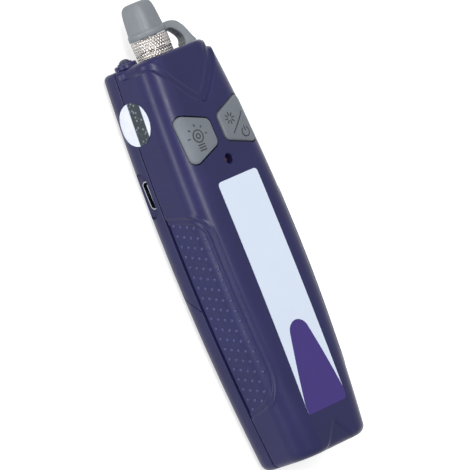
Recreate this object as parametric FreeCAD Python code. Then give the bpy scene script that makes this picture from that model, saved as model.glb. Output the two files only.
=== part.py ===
# Handheld visual fault locator: a red laser source with a capped 2.5 mm fibre port.
#
# Millimetres. The part lies on its flat back: +Z is the way the front face looks,
# +Y runs along the body towards the fibre port, +X is to the right of someone
# looking at the front. The origin is in the middle of the flat back.

import FreeCAD, Part
import math
import os

V = FreeCAD.Vector

# ---------------------------------------------------------------- driving sizes
HOUSING_LENGTH = 129.5      # end to end, without the port and its cap
HOUSING_WIDTH = 37.6        # widest, half way up
HOUSING_DEPTH = 26.6        # back face to front face
SIDE_STRAIGHT = 11.0        # sides run straight this far either way from the middle
SIDE_BENT = 35.5            # and straight again, tapering, beyond this
SIDE_TAPER = 5.35           # degrees, of the tapering ends
FRONT_CORNER = 8.0          # radius between front face and sides
BACK_CORNER = 7.0           # radius between back face and sides
TOP_EDGE = 0.8              # bevel round the port end
BOTTOM_EDGE = 1.8           # bevel round the other end
WALL = 2.2                  # moulded wall
PART_LINE = 9.5             # height of the joint between rear and front mouldings
PART_GAP = 0.4              # open groove along that joint

PORT_HEIGHT = HOUSING_DEPTH / 2          # optical axis above the back
FERRULE_BORE = 2.5                       # universal 2.5 mm ferrule
NOSE_DIAMETER = 5.5
NOSE_REACH = 11.4                        # nose tip above the port end
COLLAR_DIAMETER = 11.8
RING_HEIGHT = 2.4                        # lock ring under the knurled collar
RING_GROOVE = 0.35
COLLAR_TOP = 6.6                         # top of the collar above the port end
CAP_TOP = 17.5                           # top of the dust cap above the port end
CAP_LIFT = 0.15                          # cap's flange clear of the collar

BUTTON_GAP = 0.35                        # slot round each button
BUTTON_PROUD = 0.7                       # how far the buttons stand out
BUTTON_TRAVEL = 0.5
RUNNING_GAP = 0.1                        # between pieces that slide on each other
DOOR_GAP = 0.3                           # slot between battery door and rear shell

CELL_DIAMETER = 14.2                     # one AA-sized lithium cell
CELL_LENGTH = 50.0
BOARD_THICKNESS = 1.6
LASER_DIAMETER = 9.0
TORCH_REACH = 10.88                      # torch's centre from the optical axis, at least
TORCH_DROP = 2.85                        # and below it, at least
PLAY = 0.05                              # all round a peg or a lens in its hole

# ------------------------------------------------------------- derived stations
TOP = HOUSING_LENGTH / 2
BOTTOM = -HOUSING_LENGTH / 2
BUTTON_Y = TOP - 27.1
LAMP_Y = TOP - 36.8                      # small indicator lamp
SOCKET_Y = TOP - 38.3
LABEL_LOW = BOTTOM + 12.0
LABEL_HIGH = TOP - 42.4
GRIP_LOW = BOTTOM + 17.3
GRIP_HIGH = TOP - 47.1
ARCH_Y = BOTTOM + CELL_LENGTH + 12.9     # crown of the battery door's arched edge
TRAY_TOP = ARCH_Y - 0.6
BOARD_TOP = TOP - 17.25
BOARD_BOTTOM = TRAY_TOP + 3.0
BOARD_Z = PORT_HEIGHT - LASER_DIAMETER / 2 - BOARD_THICKNESS - 0.4
TRAY_HALF = CELL_DIAMETER / 2 + 1.6      # half of the battery tray's width
SCREW_Y = TOP - 13.25
SCREW_X = 11.0
EAR_Y = BOTTOM + 34.75
STRAP_TURN = 18.0                        # strap's direction from +X towards the front
STRAP_WIDTH = 4.8
SEAL_DIAMETER = 13.4


# ------------------------------------------------------------------ small tools
def side_radius():
    return (SIDE_BENT - SIDE_STRAIGHT) / math.sin(math.radians(SIDE_TAPER))


def half_width(y):
    """Half of the housing's width at a station along it."""
    reach = abs(y)
    if reach <= SIDE_STRAIGHT:
        return HOUSING_WIDTH / 2
    r = side_radius()
    if reach <= SIDE_BENT:
        return HOUSING_WIDTH / 2 - r + math.sqrt(r * r - (reach - SIDE_STRAIGHT) ** 2)
    taper = math.radians(SIDE_TAPER)
    bent = HOUSING_WIDTH / 2 - r * (1 - math.cos(taper))
    return bent - (reach - SIDE_BENT) * math.tan(taper)


# Stations that keep their distance from the sides.
BOARD_HALF = half_width(BOARD_TOP) - WALL - 0.9
BUTTON_EDGE = half_width(BUTTON_Y) - 2.25
BUTTON_X = BUTTON_EDGE - 6.6
EAR_X = half_width(EAR_Y) - WALL - 3.0
TORCH_X = 4.42 - half_width(TOP)
TORCH_Z = PORT_HEIGHT - math.sqrt(max(TORCH_REACH ** 2 - TORCH_X ** 2, TORCH_DROP ** 2))


def one_solid(shape):
    return shape.Solids[0] if len(shape.Solids) == 1 else shape


def fuse_all(shapes):
    whole = shapes[0]
    for shape in shapes[1:]:
        whole = whole.fuse(shape)
    return one_solid(whole.removeSplitter())


def box(x0, x1, y0, y1, z0, z1):
    return Part.makeBox(x1 - x0, y1 - y0, z1 - z0, V(x0, y0, z0))


def rod(diameter, start, end):
    start = V(*start)
    axis = V(*end) - start
    return Part.makeCylinder(diameter / 2, axis.Length, start, axis)


def tube(outer, inner, start, end):
    return rod(outer, start, end).cut(rod(inner, start, end))


def loop(points):
    return Part.makePolygon([V(*p) for p in points] + [V(*points[0])])


def prism(outline, z0, z1):
    wire = loop([(x, y, z0) for x, y in outline])
    return Part.Face(wire).extrude(V(0, 0, z1 - z0))


def upright_edges(shape):
    found = []
    for edge in shape.Edges:
        a, b = edge.Vertexes[0].Point, edge.Vertexes[-1].Point
        if abs(a.x - b.x) < 1e-4 and abs(a.y - b.y) < 1e-4 and abs(a.z - b.z) > 0.1:
            found.append(edge)
    return found


def rounded_prism(outline, radius, z0, z1):
    solid = prism(outline, z0, z1)
    return solid.makeFillet(radius, upright_edges(solid))


def grown(outline, amount):
    """Move every side of an anticlockwise convex outline outwards."""
    count = len(outline)
    lines = []
    for i in range(count):
        (ax, ay), (bx, by) = outline[i], outline[(i + 1) % count]
        size = math.hypot(bx - ax, by - ay)
        nx, ny = (by - ay) / size, (ax - bx) / size
        lines.append((nx, ny, nx * ax + ny * ay + amount))
    result = []
    for i in range(count):
        a1, b1, c1 = lines[i - 1]
        a2, b2, c2 = lines[i]
        det = a1 * b2 - a2 * b1
        result.append(((c1 * b2 - c2 * b1) / det, (a1 * c2 - a2 * c1) / det))
    return result


def mirrored(outline):
    return [(-x, y) for x, y in reversed(outline)]


def along_y(shape, start):
    """Lay a piece made about +Z from z = 0 along +Y, its foot at start."""
    laid = shape.copy()
    laid.rotate(V(0, 0, 0), V(1, 0, 0), -90)
    laid.translate(V(*start))
    return laid


def spun(profile):
    face = Part.Face(loop([(r, 0, h) for r, h in profile]))
    return face.revolve(V(0, 0, 0), V(0, 0, 1), 360)


def turned(profile, start):
    """Turn an (r, distance) profile about a line along +Y from start."""
    return along_y(spun(profile), start)


def along_port(shape):
    return along_y(shape, (0, TOP, PORT_HEIGHT))


def revolved(profile):
    return turned(profile, (0, TOP, PORT_HEIGHT))


# ------------------------------------------------------------------ the barrel
def side_line(inset, reach):
    """Edges of the right-hand side from -reach to +reach, moved inwards by inset."""
    r = side_radius()
    taper = math.radians(SIDE_TAPER)
    x = HOUSING_WIDTH / 2 - inset

    def on_arc(angle):
        across = HOUSING_WIDTH / 2 - r + (r - inset) * math.cos(angle)
        return V(across, SIDE_STRAIGHT + (r - inset) * math.sin(angle), 0)

    bend = on_arc(taper)
    end = V(bend.x - (reach - bend.y) * math.tan(taper), reach, 0)
    upper = [
        Part.Arc(V(x, SIDE_STRAIGHT, 0), on_arc(taper / 2), bend).toShape(),
        Part.makeLine(bend, end),
    ]
    lower = [e.mirror(V(0, 0, 0), V(0, 1, 0)) for e in upper]
    middle = Part.makeLine(V(x, -SIDE_STRAIGHT, 0), V(x, SIDE_STRAIGHT, 0))
    return lower + [middle] + upper, end


def plan_prism(inset, end_inset, z0, z1):
    """Straight-sided block with the housing's barrel-shaped plan."""
    right, corner = side_line(inset, HOUSING_LENGTH / 2 - end_inset)
    left = [e.mirror(V(0, 0, 0), V(1, 0, 0)) for e in right]
    ends = [
        Part.makeLine(V(-corner.x, y, 0), V(corner.x, y, 0)) for y in (-corner.y, corner.y)
    ]
    plan = Part.Wire(Part.__sortEdges__(right + left + ends))
    plan.translate(V(0, 0, z0))
    return Part.Face(plan).extrude(V(0, 0, z1 - z0))


def long_edges(body, front):
    """Edges along both sides of a plan block, at its front or at its back."""
    flat = [e for e in body.Edges if e.BoundBox.ZLength < 1e-4 and e.BoundBox.YLength > 1]
    return [e for e in flat if (e.BoundBox.ZMax > HOUSING_DEPTH / 2) == front]


def barrel(inset, end_inset, top_edge=0, bottom_edge=0):
    """The housing's outer form moved inwards by inset, or outwards if negative."""
    body = plan_prism(inset, end_inset, inset, HOUSING_DEPTH - inset)
    body = body.makeFillet(FRONT_CORNER - inset, long_edges(body, True))
    body = body.makeFillet(BACK_CORNER - inset, long_edges(body, False))
    reach = HOUSING_LENGTH / 2 - end_inset
    for y, size in ((reach, top_edge), (-reach, bottom_edge)):
        if size:
            rim = [e for e in body.Edges if all(abs(v.Y - y) < 1e-5 for v in e.Vertexes)]
            body = body.makeChamfer(size, rim)
    return body


def room(inset):
    """Inside of the housing, its long corners cut off at 45 degrees."""
    body = plan_prism(inset, inset, inset, HOUSING_DEPTH - inset)
    body = body.makeChamfer(FRONT_CORNER * 0.38, long_edges(body, True))
    return body.makeChamfer(BACK_CORNER * 0.38, long_edges(body, False))


OUTER = barrel(0, 0, TOP_EDGE, BOTTOM_EDGE)
CAVITY = room(WALL)


def above(z):
    return box(-HOUSING_WIDTH, HOUSING_WIDTH, BOTTOM - 10, TOP + 10, z, HOUSING_DEPTH + 10)


def below(z):
    return box(-HOUSING_WIDTH, HOUSING_WIDTH, BOTTOM - 10, TOP + 10, -10, z)


# --------------------------------------------------------------- front moulding
def button_outline():
    """Opening of the right-hand button, anticlockwise; the left one mirrors it."""
    return [
        (1.7, BUTTON_Y - 3.9),
        (BUTTON_EDGE, BUTTON_Y - 7.9),
        (BUTTON_EDGE, BUTTON_Y + 7.9),
        (1.7, BUTTON_Y + 3.6),
    ]


def brow_recess():
    """Lowered lip round the port end, running down the front in a V."""
    lip = TOP - 3.1
    arm = [(4.75, TOP - 14.9), (9.0, TOP - 9.5), (11.3, TOP - 5.9), (13.4, lip)]
    side = [(HOUSING_WIDTH, lip), (HOUSING_WIDTH, TOP + 5)]
    tip = [(-0.7, TOP - 18.1), (0.7, TOP - 18.1)]
    outline = tip + arm + side + mirrored(arm + side)
    slope = 1.0
    spread = [(-1.0, TOP - 19.2), (1.0, TOP - 19.2)]
    wide = [(x + slope * 0.8, y - slope * 0.7) for x, y in arm] + side
    lower = loop([(x, y, HOUSING_DEPTH - 2.0) for x, y in outline])
    upper = loop([(x, y, HOUSING_DEPTH + 0.4) for x, y in spread + wide + mirrored(wide)])
    sloped = Part.makeLoft([lower, upper], True, True)
    upright = prism(outline, PART_LINE, HOUSING_DEPTH - 2.0)
    kept = barrel(0.8, 0, 0.6, 0)
    return sloped.fuse(upright).cut(kept)


def foot_recess():
    """Shallow arrowhead at the bottom of the front face."""
    half = 8.2
    tip = [(0.6, BOTTOM + 8.6), (-0.6, BOTTOM + 8.6)]
    low = [(-half, BOTTOM - 3), (half, BOTTOM - 3)]
    wide_tip = [(1.0, BOTTOM + 9.4), (-1.0, BOTTOM + 9.4)]
    wide_low = [(-half - 0.9, BOTTOM - 3), (half + 0.9, BOTTOM - 3)]
    lower = loop([(x, y, HOUSING_DEPTH - 0.6) for x, y in low + tip])
    upper = loop([(x, y, HOUSING_DEPTH + 0.4) for x, y in wide_low + wide_tip])
    return Part.makeLoft([lower, upper], True, True)


def grip_recess(side):
    """Lowered grip on one flank, from the part line up to the front corner."""
    brow = PORT_HEIGHT + 11.25
    reach = [
        (GRIP_LOW, 0), (GRIP_LOW + 0.9, PART_LINE + 3.0), (GRIP_LOW + 4.6, brow - 4.0),
        (GRIP_LOW + 9.4, brow), (GRIP_HIGH - 10.0, brow), (GRIP_HIGH - 4.8, brow - 4.0),
        (GRIP_HIGH - 0.9, PART_LINE + 3.0), (GRIP_HIGH, 0),
    ]
    wire = loop([(side * HOUSING_WIDTH, y, z) for y, z in reach])
    slab = Part.Face(wire).extrude(V(-side * HOUSING_WIDTH * 0.8, 0, 0))
    soft = [e for e in slab.Edges if e.BoundBox.XLength > 1 and e.BoundBox.ZMin > PART_LINE]
    slab = slab.makeFillet(3.0, soft)
    return slab.cut(barrel(0.6, 0.6))


def button_skirt(outline):
    wall = rounded_prism(grown(outline, 1.0), 2.6, HOUSING_DEPTH - 6.4, HOUSING_DEPTH)
    return wall.common(room(WALL - 0.4))


def front_bosses():
    bosses = []
    for x, y, low in ((SCREW_X, SCREW_Y, PART_LINE), (EAR_X, EAR_Y, PART_LINE + 1.9)):
        for side in (-1, 1):
            post = rod(5.6, (side * x, y, low), (side * x, y, HOUSING_DEPTH))
            bosses.append(post)
    return bosses


def front_ribs():
    """Low stiffening ribs across the inside, clear of the buttons and the tray."""
    ribs = []
    for y in (BOTTOM + 9.0, BOTTOM + 22.0, BOTTOM + 48.0, BOTTOM + 60.0):
        half = half_width(y) - WALL - 1.0
        ribs.append(box(-half, half, y - 0.6, y + 0.6, HOUSING_DEPTH - 4.6, HOUSING_DEPTH))
    return ribs


def end_openings():
    """Holes through the port end, shared by both mouldings."""
    y0, y1 = TOP - WALL - 1, TOP + 1
    strap_x, strap_z = strap_point(11.4)
    return [
        rod(8.0, (0, y0, PORT_HEIGHT), (0, y1, PORT_HEIGHT)),
        rod(5.0 + 2 * PLAY, (TORCH_X, y0, TORCH_Z), (TORCH_X, y1, TORCH_Z)),
        rod(3.0 + 2 * PLAY, (strap_x, y0, strap_z), (strap_x, y1, strap_z)),
    ]


def front_shell():
    hollow = CAVITY.fuse(plan_prism(1.4, 1.4, PART_LINE - 1, PART_LINE + 1.6))
    shell = OUTER.common(above(PART_LINE + PART_GAP / 2)).cut(hollow)
    right = button_outline()
    left = mirrored(right)
    inside = room(WALL - 0.4)
    added = [p.common(inside) for p in front_bosses() + front_ribs()]
    added += [button_skirt(right), button_skirt(left)]
    shell = fuse_all([shell] + added)
    removed = [brow_recess(), foot_recess(), grip_recess(-1), grip_recess(1)]
    for outline in (right, left):
        removed.append(rounded_prism(outline, 2.4, PART_LINE, HOUSING_DEPTH + 2))
    removed.append(rod(2.6, (0, LAMP_Y, HOUSING_DEPTH - 6), (0, LAMP_Y, HOUSING_DEPTH + 2)))
    for side in (-1, 1):
        x = side * SCREW_X
        removed.append(rod(2.3, (x, SCREW_Y, 0), (x, SCREW_Y, PART_LINE + 8)))
        x = side * EAR_X
        removed.append(rod(2.3, (x, EAR_Y, 0), (x, EAR_Y, PART_LINE + 8)))
    for tool in removed + end_openings():
        shell = shell.cut(tool)
    return one_solid(shell)


# ---------------------------------------------------------------- rear moulding
def arch_outline(offset):
    """Plan outline of the battery door's end of the body, up to its arched edge."""
    y = ARCH_Y + offset
    crown, shoulder = 0.7, 10.0
    edge = HOUSING_WIDTH / 2 + 1.5
    crown_radius = (shoulder * shoulder + crown * crown) / (2 * crown)
    lean = math.asin(shoulder / crown_radius)
    drop = 10.8
    chord = math.hypot(edge - shoulder, drop)
    turn = math.atan2(drop, edge - shoulder) - lean
    r = chord / (2 * math.sin(turn))
    cx, cy = shoulder - r * math.sin(lean), y - crown - r * math.cos(lean)
    half = V(cx + r * math.sin(lean + turn), cy + r * math.cos(lean + turn), 0)
    right = [V(shoulder, y - crown, 0), half, V(edge, y - crown - drop, 0)]
    left = [V(-p.x, p.y, 0) for p in reversed(right)]
    far = V(edge + 5, BOTTOM - 5, 0)
    wire = Part.Wire([
        Part.Arc(*left).toShape(),
        Part.Arc(left[-1], V(0, y, 0), right[0]).toShape(),
        Part.Arc(*right).toShape(),
        Part.makeLine(right[-1], far),
        Part.makeLine(far, V(-far.x, far.y, 0)),
        Part.makeLine(V(-far.x, far.y, 0), left[0]),
    ])
    wire.translate(V(0, 0, -1))
    return Part.Face(wire).extrude(V(0, 0, HOUSING_DEPTH))


def socket_pocket():
    """Recess in the left flank that takes a charging plug's body."""
    outline = [(SOCKET_Y - 7.25, 1.9), (SOCKET_Y + 7.25, 1.9), (SOCKET_Y + 7.25, 7.6), (SOCKET_Y - 7.25, 7.6)]
    face = Part.Face(loop([(-HOUSING_WIDTH, y, z) for y, z in outline]))
    slab = face.extrude(V(HOUSING_WIDTH - socket_mouth(), 0, 0))
    return slab.makeFillet(2.4, [e for e in slab.Edges if e.BoundBox.XLength > 1])


def socket_mouth():
    return half_width(SOCKET_Y) - 1.9


def rear_tongue():
    """Thin lip that stands inside the front moulding and closes the part line."""
    low, high = PART_LINE - 1.0, PART_LINE + 1.4
    ring = plan_prism(1.5, 1.5, low, high).cut(plan_prism(WALL, WALL, low, high))
    return ring.common(box(-HOUSING_WIDTH, HOUSING_WIDTH, ARCH_Y + 1.5, TOP, low, high))


def rear_posts():
    posts = []
    for side in (-1, 1):
        x = side * SCREW_X
        posts.append(rod(7.2, (x, SCREW_Y, 0), (x, SCREW_Y, 7.2)))
        posts.append(rod(5.6, (x, SCREW_Y, 7.2), (x, SCREW_Y, PART_LINE)))
        x = side * (BOARD_HALF - 2.8)
        for y in (BOARD_BOTTOM + 4, BOARD_TOP - 3.2):
            posts.append(rod(4.0, (x, y, 1), (x, y, BOARD_Z)))
    backing = box(-socket_mouth(), -socket_mouth() + 1.7, SOCKET_Y - 8.6, SOCKET_Y + 8.6, 1, 9.2)
    posts.append(backing)
    for y in (TOP - 26.0, TOP - 48.0):
        posts.append(box(-9.5, 9.5, y - 0.6, y + 0.6, 1, WALL + 1.2))
    return posts


def rear_shell():
    shell = OUTER.common(below(PART_LINE - PART_GAP / 2)).cut(CAVITY)
    inside = room(1.2)
    added = [p.common(inside) for p in rear_posts()]
    shell = fuse_all([shell, rear_tongue()] + added)
    shell = shell.cut(arch_outline(DOOR_GAP / 2))
    shell = shell.cut(socket_pocket())
    mouth = -socket_mouth()
    shell = shell.cut(rounded_socket(9.1, 3.4, mouth - 2, mouth + 4))
    for side in (-1, 1):
        x = side * SCREW_X
        shell = shell.cut(rod(4.8, (x, SCREW_Y, -1), (x, SCREW_Y, 6.0)))
        shell = shell.cut(rod(2.5, (x, SCREW_Y, 5), (x, SCREW_Y, PART_LINE + 1)))
    for tool in end_openings():
        shell = shell.cut(tool)
    return one_solid(shell)


def door_rail(side):
    """Hook that rides under the tray's ledge."""
    inner = TRAY_HALF + 1.55
    wall = box(inner, inner + 1.2, BOTTOM + 12, ARCH_Y - 12, 1, 7.4)
    lip = box(TRAY_HALF + 0.3, inner, BOTTOM + 12, ARCH_Y - 12, 6.4, 7.4)
    rail = wall.fuse(lip).common(room(1.2))
    return rail if side > 0 else rail.mirror(V(0, 0, 0), V(1, 0, 0))


def battery_door():
    """Sliding cover that is the lower half of the back, with its own end wall."""
    cover = OUTER.common(below(PART_LINE - PART_GAP / 2)).cut(CAVITY)
    cover = cover.common(arch_outline(-DOOR_GAP / 2))
    rails = [door_rail(side) for side in (-1, 1)]
    door = fuse_all([cover] + rails)
    for i in range(5):
        y = ARCH_Y - 7.0 - 2.4 * i
        half = 8.0 - 0.6 * i
        door = door.cut(rod(1.2, (-half, y, -0.1), (half, y, -0.1)))
    return one_solid(door)


# -------------------------------------------------------- battery and its tray
def cell_height():
    return WALL + 0.8 + CELL_DIAMETER / 2


def tray_low():
    return BOTTOM + WALL + 0.4


def cell_start():
    return tray_low() + 1.5 + 2.4


def battery_tray():
    """Inner box that holds the cell, open towards the door."""
    half = TRAY_HALF
    wide = half - 1.2
    top = cell_height() + CELL_DIAMETER / 2 + 1.9
    low = WALL + 1.0
    shell = box(-half, half, tray_low(), TRAY_TOP, low, top)
    shell = shell.cut(box(-wide, wide, tray_low() + 1.5, TRAY_TOP - 1.5, low - 1, top - 1.5))
    for side in (-1, 1):
        ledge = box(half, half + 1.2, BOTTOM + 8, ARCH_Y - 10, 5.1, 6.1)
        ear = box(half - 0.4, EAR_X, EAR_Y - 2.8, EAR_Y + 2.8, PART_LINE + 0.4, PART_LINE + 1.9)
        tip = rod(5.6, (EAR_X, EAR_Y, PART_LINE + 0.4), (EAR_X, EAR_Y, PART_LINE + 1.9))
        window = box(half - 2.5, half + 0.1, EAR_Y + 4, EAR_Y + 18, PART_LINE - 1.5, PART_LINE + 5)
        hole = rod(2.5, (EAR_X, EAR_Y, PART_LINE), (EAR_X, EAR_Y, PART_LINE + 3))
        wing = ledge.fuse(ear).fuse(tip).cut(hole)
        if side < 0:
            wing = wing.mirror(V(0, 0, 0), V(1, 0, 0))
            window = window.mirror(V(0, 0, 0), V(1, 0, 0))
        shell = shell.fuse(wing).cut(window)
    return one_solid(shell.removeSplitter())


def battery_cell():
    """Cell with its raised button at the upper end."""
    y, z = cell_start(), cell_height()
    can = rod(CELL_DIAMETER, (0, y, z), (0, y + CELL_LENGTH, z))
    return one_solid(can.fuse(rod(5.5, (0, y + CELL_LENGTH, z), (0, y + CELL_LENGTH + 1.0, z))))


def bent_strip(points, thickness, width, z):
    """Springy strip: a folded line in plan, given thickness and a width along Z."""
    pieces = []
    for (ax, ay), (bx, by) in zip(points, points[1:]):
        size = math.hypot(bx - ax, by - ay)
        nx, ny = -(by - ay) / size * thickness, (bx - ax) / size * thickness
        side = [(ax, ay), (bx, by), (bx + nx, by + ny), (ax + nx, ay + ny)]
        pieces.append(Part.Face(loop([(x, y, z - width / 2) for x, y in side])).extrude(V(0, 0, width)))
    return fuse_all(pieces)


def negative_contact():
    y = tray_low() + 1.5
    reach = cell_start() - y
    bend = y + 0.2
    points = [
        (5.5, y), (-5.5, y), (-5.5, bend), (-4.5, y + reach * 0.55), (0, y + reach - 0.3),
        (3.5, y + 0.9),
    ]
    return bent_strip(list(reversed(points)), 0.3, 6.0, cell_height())


def positive_contact():
    y = TRAY_TOP - 1.5
    tip = cell_start() + CELL_LENGTH + 1.0
    wall = box(-5.0, 5.0, y - 0.4, y, cell_height() - 4, cell_height() + 4)
    pad = box(-2.6, 2.6, tip, tip + 0.4, cell_height() - 2.5, cell_height() + 2.5)
    leg = box(2.2, 2.6, tip, y, cell_height() - 2.5, cell_height() + 2.5)
    return fuse_all([wall, pad, leg])


# ------------------------------------------------------------------ electronics
def circuit_board():
    """Board resting on four posts, notched round the two screw posts."""
    top = BOARD_Z + BOARD_THICKNESS
    board = box(-BOARD_HALF, BOARD_HALF, BOARD_BOTTOM, BOARD_TOP, BOARD_Z, top)
    for side in (-1, 1):
        x0, x1 = sorted((side * 8.6, side * 14))
        board = board.cut(box(x0, x1, BOARD_TOP - 1.6, BOARD_TOP + 1, 0, top + 1))
    return board


def rounded_socket(width, height, x0, x1):
    z = BOARD_Z - 1.6
    half = width / 2
    face = Part.Face(loop([
        (x0, SOCKET_Y - half, z - height / 2), (x0, SOCKET_Y + half, z - height / 2),
        (x0, SOCKET_Y + half, z + height / 2), (x0, SOCKET_Y - half, z + height / 2),
    ]))
    slab = face.extrude(V(x1 - x0, 0, 0))
    edges = [e for e in slab.Edges if e.BoundBox.XLength > 1]
    return slab.makeFillet(height / 2 - 0.25, edges)


def charging_socket():
    """USB-C style receptacle: a drawn shell with the tongue inside."""
    x0 = -socket_mouth()
    x1 = x0 + 7.3
    shell = rounded_socket(8.94, 3.2, x0, x1)
    shell = shell.cut(rounded_socket(8.34, 2.6, x0 - 1, x1 - 1.0))
    z = BOARD_Z - 1.6
    tongue = box(x0 + 0.6, x1 - 0.9, SOCKET_Y - 3.3, SOCKET_Y + 3.3, z - 0.35, z + 0.35)
    return fuse_all([shell, tongue])


def switch_base(side):
    z = BOARD_Z + BOARD_THICKNESS
    x = side * BUTTON_X
    base = box(x - 3, x + 3, BUTTON_Y - 3, BUTTON_Y + 3, z, z + 3.5)
    return base.cut(rod(3.7, (x, BUTTON_Y, z + 2.0), (x, BUTTON_Y, z + 4)))


def switch_plunger(side):
    z = BOARD_Z + BOARD_THICKNESS + 2.0 + BUTTON_TRAVEL + 0.1
    x = side * BUTTON_X
    return rod(3.5, (x, BUTTON_Y, z), (x, BUTTON_Y, post_foot()))


def post_foot():
    return BOARD_Z + BOARD_THICKNESS + 5.0


def driver_chip():
    z = BOARD_Z + BOARD_THICKNESS
    y = (BOARD_BOTTOM + LAMP_Y) / 2
    return box(-2.5, 2.5, y - 3, y + 3, z, z + 1.1)


def indicator_chip():
    z = BOARD_Z + BOARD_THICKNESS
    return box(-0.8, 0.8, LAMP_Y - 0.6, LAMP_Y + 0.6, z, z + 0.8)


def light_pipe():
    """Clear rod that carries the indicator's light to the front face."""
    z0 = BOARD_Z + BOARD_THICKNESS + 0.8
    z1 = HOUSING_DEPTH - 0.6
    return rod(2.6, (0, LAMP_Y, z0), (0, LAMP_Y, z1))


# ---------------------------------------------------------------------- buttons
def button(side):
    """Soft-cornered key that follows the front's curve, with a flange and a post."""
    right = button_outline()
    outline = right if side > 0 else mirrored(right)
    foot = HOUSING_DEPTH - 6.4 - RUNNING_GAP
    key = rounded_prism(grown(outline, -BUTTON_GAP), 2.1, foot - 1.2, HOUSING_DEPTH + 3)
    key = one_solid(key.common(barrel(-BUTTON_PROUD, 0)))
    key = key.makeChamfer(0.45, key_rim(key, foot))
    flange = rounded_prism(grown(outline, 0.9), 2.6, foot - 1.2, foot).common(room(WALL + 0.6))
    x = side * BUTTON_X
    post = rod(4.0, (x, BUTTON_Y, post_foot()), (x, BUTTON_Y, foot - 1.0))
    return fuse_all([key, flange, post])


def key_rim(key, foot):
    """Edges where a key's upright sides meet its top."""
    rim = []
    for face in key.Faces:
        if abs(face.normalAt(*face.Surface.parameter(face.CenterOfMass)).z) > 0.05:
            continue
        for edge in face.Edges:
            middle = (edge.FirstParameter + edge.LastParameter) / 2
            if edge.BoundBox.ZMin > foot + 0.5 and abs(edge.tangentAt(middle).z) < 0.9:
                rim.append(edge)
    return rim


# ---------------------------------------------------------- laser and fibre port
def port_body():
    """Turned adapter: flange inside the end wall, threaded neck and ferrule nose."""
    nose = NOSE_DIAMETER / 2
    profile = [
        (0, -4.4), (5.6, -4.4), (5.6, -WALL), (3.95, -WALL), (3.95, COLLAR_TOP - 0.7),
        (nose, COLLAR_TOP - 0.7), (nose, NOSE_REACH), (0, NOSE_REACH),
    ]
    body = revolved(profile)
    y = TOP + NOSE_REACH
    body = body.cut(rod(3.3, (0, TOP - 0.6, PORT_HEIGHT), (0, y + 1, PORT_HEIGHT)))
    return body.cut(rod(2.0, (0, TOP - 6, PORT_HEIGHT), (0, TOP, PORT_HEIGHT)))


def split_sleeve():
    """Slit ceramic sleeve that centres the fibre's ferrule."""
    y0 = TOP - 0.6
    y1 = TOP + NOSE_REACH - 0.4
    sleeve = tube(3.3, FERRULE_BORE, (0, y0, PORT_HEIGHT), (0, y1, PORT_HEIGHT))
    slit = box(-0.25, 0.25, y0 - 1, y1 + 1, PORT_HEIGHT, PORT_HEIGHT + 3)
    return one_solid(sleeve.cut(slit))


def lock_ring():
    top = TOP + RING_HEIGHT
    bore = 7.9 + 2 * PLAY
    return tube(COLLAR_DIAMETER - 0.2, bore, (0, TOP, PORT_HEIGHT), (0, top, PORT_HEIGHT))


def knurled_collar():
    """Collar screwed on the neck, turned in over the neck's end."""
    outer = COLLAR_DIAMETER / 2
    low = RING_HEIGHT + RING_GROOVE
    nose = NOSE_DIAMETER / 2 + 0.05
    profile = [
        (3.95, low), (outer, low), (outer, COLLAR_TOP - 0.3), (outer - 0.3, COLLAR_TOP),
        (nose, COLLAR_TOP), (nose, COLLAR_TOP - 0.7), (3.95, COLLAR_TOP - 0.7),
    ]
    return revolved(profile)


def laser_barrel():
    y1 = TOP - 4.4
    bore = 6.0 + 2 * PLAY
    return tube(LASER_DIAMETER, bore, (0, y1 - 22, PORT_HEIGHT), (0, y1, PORT_HEIGHT))


def focus_lens():
    profile = [(0, 0), (3.0, 0), (3.0, 1.2), (1.8, 1.9), (0, 2.2)]
    return turned(profile, (0, TOP - 9.0, PORT_HEIGHT))


def laser_diode():
    y = TOP - 24.0
    return turned([(0, 0), (3.0, 0), (3.0, 1.2), (2.2, 1.2), (2.2, 3.8), (0, 3.8)], (0, y, PORT_HEIGHT))


# ---------------------------------------------------------------- torch and lamp
def torch_bezel():
    """Round boss with a sleeve through the end wall."""
    profile = [(1.75, -WALL), (2.5, -WALL), (2.5, 0), (3.55, 0), (3.2, 1.5), (1.75, 1.5)]
    return turned(profile, (TORCH_X, TOP, TORCH_Z))


def torch_led():
    """Domed lamp behind the bezel, its tip standing clear."""
    profile = [(0, -6.0), (1.75, -6.0), (1.75, 1.4), (1.2, 2.5), (0, 2.85)]
    return turned(profile, (TORCH_X, TOP, TORCH_Z))


def torch_board():
    y = TOP - 7.2
    return box(TORCH_X - 2.4, TORCH_X + 2.6, y, y + 1.2, TORCH_Z - 3, TORCH_Z + 3)


# ------------------------------------------------------------ dust cap and strap
def cap_flats(solid):
    """Four tapering finger flats round the upper part of the cap."""
    for i in range(4):
        slab = box(4.95, 12, -12, 12, 9.2, 22)
        slab.rotate(V(4.95, 0, 9.2), V(0, 1, 0), -6)
        slab.rotate(V(0, 0, 0), V(0, 0, 1), 8 + 90 * i)
        solid = solid.cut(slab)
    return solid


def dust_cap():
    """Rubber cap over the nose: a flange, a tapering body and a plain hollow."""
    low = COLLAR_TOP + CAP_LIFT
    tip = CAP_TOP
    outer = [
        (0, low), (6.0, low), (6.0, low + 1.9), (5.7, low + 2.2), (4.9, tip - 2.6),
        (4.2, tip - 0.7), (3.3, tip), (0, tip),
    ]
    hollow = rod(7.5, (0, 0, low - 1), (0, 0, 12.0))
    return one_solid(along_port(cap_flats(spun(outer)).cut(hollow)))


def strap_point(out):
    turn = math.radians(STRAP_TURN)
    return out * math.cos(turn), PORT_HEIGHT + out * math.sin(turn)


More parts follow.
